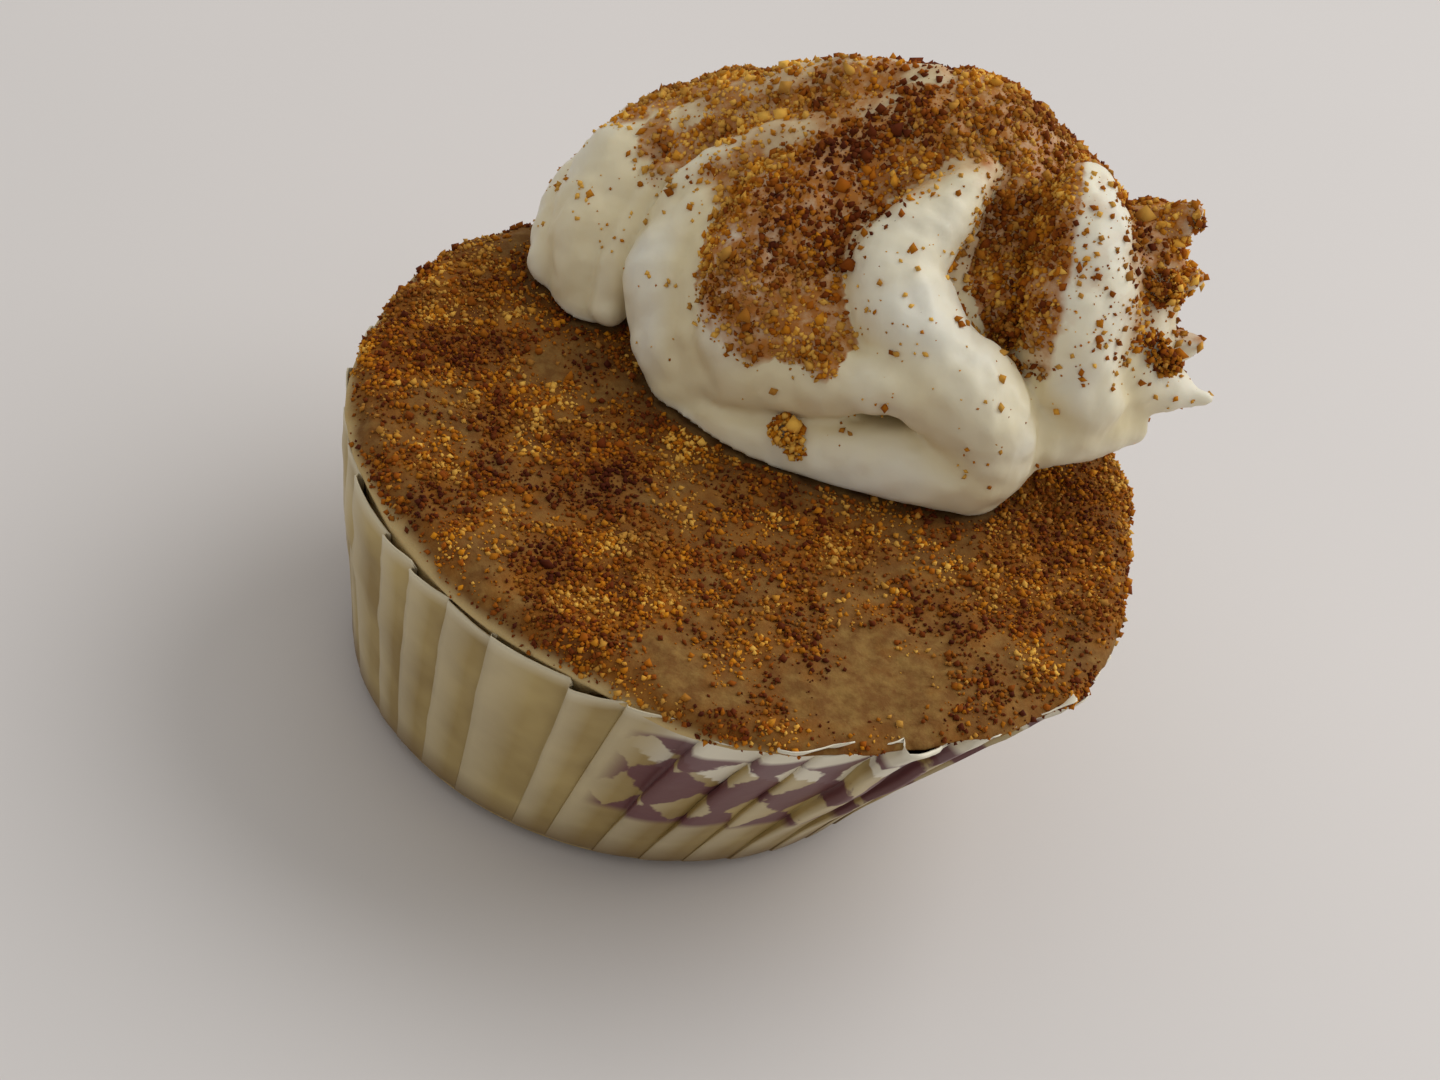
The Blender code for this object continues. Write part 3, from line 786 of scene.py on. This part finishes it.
def cake_material():
    made, tree, shader = new_material("cake")
    bare, brown, dark = srgb(138, 104, 52), srgb(146, 88, 18), srgb(98, 54, 8)
    patch = ramp(tree, noise_at(tree, 260.0, 4.0, 0.6), (0.35, 0.0), (0.65, 1.0))
    crumbed = mix(tree, patch, brown, dark)
    fine = ramp(tree, noise_at(tree, 700.0, 4.0, 0.65, 3.0), (0.35, 0.0), (0.6, 1.0))
    mottled = mix(tree, fine, bare, srgb(112, 74, 30))
    base = mix(tree, attribute(tree, "share"), mottled, crumbed)
    base = mix(tree, attribute(tree, "side"), base, srgb(194, 168, 116))
    # painted shade: the cake is darkened close round the foot of the cream
    base = mix(tree, attribute(tree, "cream_contact_shade"), base, srgb(58, 34, 12))
    tree.links.new(base, shader.inputs["Base Color"])
    shader.inputs["Roughness"].default_value = 0.85
    shader.inputs["Specular IOR Level"].default_value = 0.2
    shader.inputs["Subsurface Weight"].default_value = 0.08
    shader.inputs["Subsurface Radius"].default_value = (1.0, 0.5, 0.25)
    shader.inputs["Subsurface Scale"].default_value = 0.001
    bump(tree, shader, noise_at(tree, 1500.0, 4.0, 0.6, 5.0), 0.5, 0.0004)
    return made


def crumb_material():
    made, tree, shader = new_material("crumbs")
    tone = attribute(tree, "tone")
    base = ramp(
        tree, tone, (0.0, srgb(106, 46, 4)), (0.35, srgb(166, 92, 10)), (0.75, srgb(206, 138, 26)),
        (1.0, srgb(232, 186, 92)),
    )
    patches = noise_at(tree, 170.0, 3.0, 0.55, 7.0)
    patches = ramp(tree, patches, (0.38, srgb(176, 150, 130)), (0.62, srgb(255, 246, 220)))
    tree.links.new(mix(tree, 1.0, base, patches, "MULTIPLY"), shader.inputs["Base Color"])
    shader.inputs["Roughness"].default_value = 0.85
    shader.inputs["Specular IOR Level"].default_value = 0.15
    return made


def printed(tree, turn, level):
    """1 inside the printed diamonds, which stand in two rows along the open side of the case."""
    across = maths(tree, "PINGPONG", maths(tree, "DIVIDE", turn, math.radians(PRINT_PITCH)), 0.5)
    up = maths(tree, "PINGPONG", maths(tree, "DIVIDE", level, PRINT_ROW), 0.5)
    ragged = maths(tree, "MULTIPLY", maths(tree, "SUBTRACT", noise_at(tree, 420.0, 3.0, 0.6, 9.0), 0.5), 0.5)
    diamond = ramp(tree, maths(tree, "ADD", maths(tree, "ADD", across, up), ragged), (0.55, 1.0), (0.60, 0.0))
    rows = ramp(tree, level, (0.3, 0.0), (0.34, 1.0), (0.86, 1.0), (0.89, 0.0))
    middle, half = math.radians(PRINT_MIDDLE), math.radians(PRINT_HALF)
    side = maths(tree, "DIVIDE", maths(tree, "ABSOLUTE", maths(tree, "SUBTRACT", turn, middle)), half)
    shown = ramp(tree, side, (0.94, 1.0), (1.0, 0.0))
    return maths(tree, "MULTIPLY", maths(tree, "MULTIPLY", diamond, rows), maths(tree, "MULTIPLY", shown, 0.9))


def paper_material():
    made, tree, shader = new_material("greaseproof_paper")
    level, crest, turn = (attribute(tree, n) for n in ("level", "crest", "turn"))
    plain, oily = srgb(180, 156, 98), srgb(144, 118, 62)
    pale_paper_and_highlight, brown = srgb(216, 204, 174), srgb(108, 78, 38)
    base = mix(tree, ramp(tree, noise_at(tree, 90.0, 3.0), (0.35, 0.0), (0.65, 1.0)), plain, oily)
    # painted highlight: the outermost folds of the pleats are paled
    base = mix(tree, maths(tree, "MULTIPLY", ramp(tree, crest, (0.55, 0.0), (1.0, 1.0)), 0.45), base, pale_paper_and_highlight)
    base = mix(tree, ramp(tree, level, (0.93, 0.0), (1.0, 0.85)), base, pale_paper_and_highlight)
    tabs = ramp(tree, attribute(tree, "tab"), (0.4, 0.0), (0.6, 0.9))
    base = mix(tree, tabs, base, srgb(226, 218, 196))
    # painted shade: the foot of the case darkens to brown where it stands on the table
    base = mix(tree, ramp(tree, level, (0.0, 0.75), (0.14, 0.0)), base, brown)
    base = mix(tree, printed(tree, turn, level), base, srgb(94, 38, 54))
    tree.links.new(base, shader.inputs["Base Color"])
    shader.inputs["Roughness"].default_value = 0.5
    bump(tree, shader, noise_at(tree, 500.0, 3.0, 0.5, 4.0), 0.2, 0.0003)
    return made


def table_material():
    made, tree, shader = new_material("table")
    cloudy = ramp(tree, noise_at(tree, 6.0, 2.0), (0.3, 0.0), (0.7, 1.0))
    base = mix(tree, cloudy, srgb(214, 208, 204), srgb(208, 203, 199))
    tree.links.new(base, shader.inputs["Base Color"])
    shader.inputs["Roughness"].default_value = 0.6
    return made


# ---------------------------------------------------------------- putting it together
def show(obj, material, slot_name, *nodes):
    obj.data.materials.append(material)
    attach(obj, "root")
    if nodes:
        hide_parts(*nodes)
    return obj


crumbs_look = crumb_material()
show(build_case(), paper_material(), "greaseproof_paper", "paper_case")

cake_verts, cake_faces = build_cake()
on_cake = cake_share(cake_verts)
above = np.array([0.0, 0.0, CAKE_HEIGHT])
cake_side = smooth((CAKE_HEIGHT - 1.3 - cake_verts[:, 2]) / 1.2)
# painted contact shade on the cake, darkest next to the cream and fading out over a few millimetres
cream_contact_shade = 0.55 * np.exp(-np.maximum(cream_distance(cake_verts - above), 0.0) / 2.2)
cake = make_mesh("cake_body", cake_verts, cake_faces, {"share": on_cake, "side": cake_side, "cream_contact_shade": cream_contact_shade})
show(cake, cake_material(), "baked_cake", "cake")

CREAM_LIFT = np.array([0.0, 0.0, 0.1])
cream_verts, cream_faces, cream_normal, hollow, owner, owner_names = build_cream()
on_cream = crumb_share(cream_verts, cream_normal, hollow, owner, owner_names)
cream_marks = {"share": on_cream, "hollow": hollow}
cream = make_mesh("cream_swirl", cream_verts + above + CREAM_LIFT, cream_faces, cream_marks)
show(cream, cream_material(), "whipped_cream", "cream")

place, normal, _ = scatter(cake_verts, cake_faces, on_cake**1.35, CRUMBS_ON_CAKE)
lighter = 0.6 * waves(place, 6.0, 2, 21.0) - 0.05
sizes = crumb_sizes(len(place), 0.2, 0.85, 1.5)
show(build_crumbs("crumbs_on_cake", place, normal, sizes, lighter), crumbs_look, "baked_cake")

place, normal, near_share = scatter(cream_verts, [cream_faces], on_cream**1.3, CRUMBS_ON_CREAM)
clumped, outwards = clump_places()
place, normal = np.concatenate([place, clumped]), np.concatenate([normal, outwards])
# crumbs that lie alone are lighter, and those down the valley and to its right are darker; down the valley the
# darkening is partly the crumbs' own darker tone and partly painted shade of the hollow beside the fold
sparse = np.concatenate([np.exp(-near_share / 0.15), np.full(len(clumped), -0.2)])
lighter = 0.32 + 0.35 * sparse + 0.3 * waves(place, 4.0, 2, 22.0)
lighter = lighter - 0.85 * valley_shade_and_tone(place) - 0.2 * smooth((place[:, 0] - 14.0) / 8.0)
sizes = crumb_sizes(len(place), 0.24, 1.05, 2.1)
show(build_crumbs("crumbs_on_cream", place + above, normal, sizes, lighter), crumbs_look, "baked_cake")

# floor, light and camera
bpy.ops.mesh.primitive_plane_add(size=4.0)
floor = bpy.context.object
floor.name = "table_top"
floor.data.materials.append(table_material())


def lamp(name, azimuth, elevation, distance, size, watts):
    data = bpy.data.lights.new(name, "AREA")
    data.shape = "DISK"
    data.size = size
    data.energy = watts
    obj = bpy.data.objects.new(name, data)
    a, e = math.radians(azimuth), math.radians(elevation)
    way = Vector((math.cos(a) * math.cos(e), math.sin(a) * math.cos(e), math.sin(e)))
    obj.location = way * distance + Vector((0, 0, 0.02))
    obj.rotation_euler = way.to_track_quat("Z", "Y").to_euler()
    bpy.context.scene.collection.objects.link(obj)
    return obj


lamp("window", 33.0, 43.0, 1.2, 1.25, 9.6)
world = bpy.data.worlds.new("room")
world.use_nodes = True
world.node_tree.nodes["Background"].inputs["Color"].default_value = (1.0, 1.0, 1.0, 1.0)
world.node_tree.nodes["Background"].inputs["Strength"].default_value = 0.57
bpy.context.scene.world = world

CAMERA_ELEVATION, CAMERA_ROLL, CAMERA_DISTANCE = 39.6, 15.93, 288.0
LOOK_AT = (5.32, 0.0, 17.81)
camera = bpy.data.objects.new("camera", bpy.data.cameras.new("camera"))
camera.data.lens = 79.3
camera.data.sensor_width = 36.0
tilt = math.radians(CAMERA_ELEVATION)
back = Vector((0.0, -math.cos(tilt), math.sin(tilt)))
camera.location = (Vector(LOOK_AT) + back * CAMERA_DISTANCE) * MM
turned = back.to_track_quat("Z", "Y").to_matrix() @ Matrix.Rotation(math.radians(CAMERA_ROLL), 3, "Z")
camera.rotation_euler = turned.to_euler()
camera.data.clip_start = 0.01
camera.data.clip_end = 20.0
bpy.context.scene.collection.objects.link(camera)
bpy.context.scene.camera = camera
bpy.context.scene.view_settings.view_transform = "Standard"
